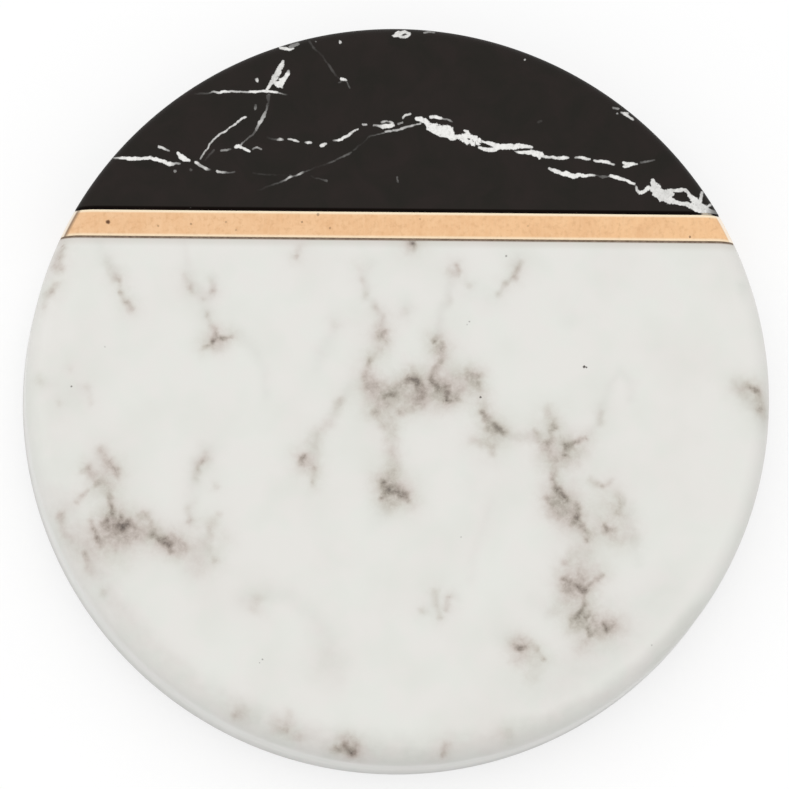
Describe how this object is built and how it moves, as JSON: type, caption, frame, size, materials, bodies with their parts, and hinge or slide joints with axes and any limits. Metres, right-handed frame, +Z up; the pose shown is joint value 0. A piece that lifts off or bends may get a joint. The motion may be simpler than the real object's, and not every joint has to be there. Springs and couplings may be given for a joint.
{
  "type": "drink coaster",
  "caption": "Round marble drink coaster: a large white and a small black stone segment glued to a brass strip between them, on felt pads that protect the table.",
  "frame": {"origin": "middle of the coaster's box at its base, on the plane of the pads' undersides", "axes": "+Z up, out of the face that the glass stands on; the brass strip runs along X; +Y towards the black stone"},
  "size_m": [0.1, 0.1, 0.0147],
  "materials": {
    "white_marble": "satin",
    "black_marble": "satin",
    "satin_brass": "satin",
    "front_epoxy": "satin",
    "rear_epoxy": "satin",
    "felt": "matte",
    "adhesive_film": "satin"
  },
  "bodies": {
    "root": {"white_marble_segment": "white_marble", "black_marble_segment": "black_marble", "brass_strip": "satin_brass", "front_epoxy_joint": "front_epoxy", "rear_epoxy_joint": "rear_epoxy", "felt_pad_right": "felt", "felt_pad_rear": "felt", "felt_pad_left": "felt", "felt_pad_front": "felt", "pad_adhesive_right": "adhesive_film", "pad_adhesive_rear": "adhesive_film", "pad_adhesive_left": "adhesive_film", "pad_adhesive_front": "adhesive_film"}
  },
  "joints": []
}
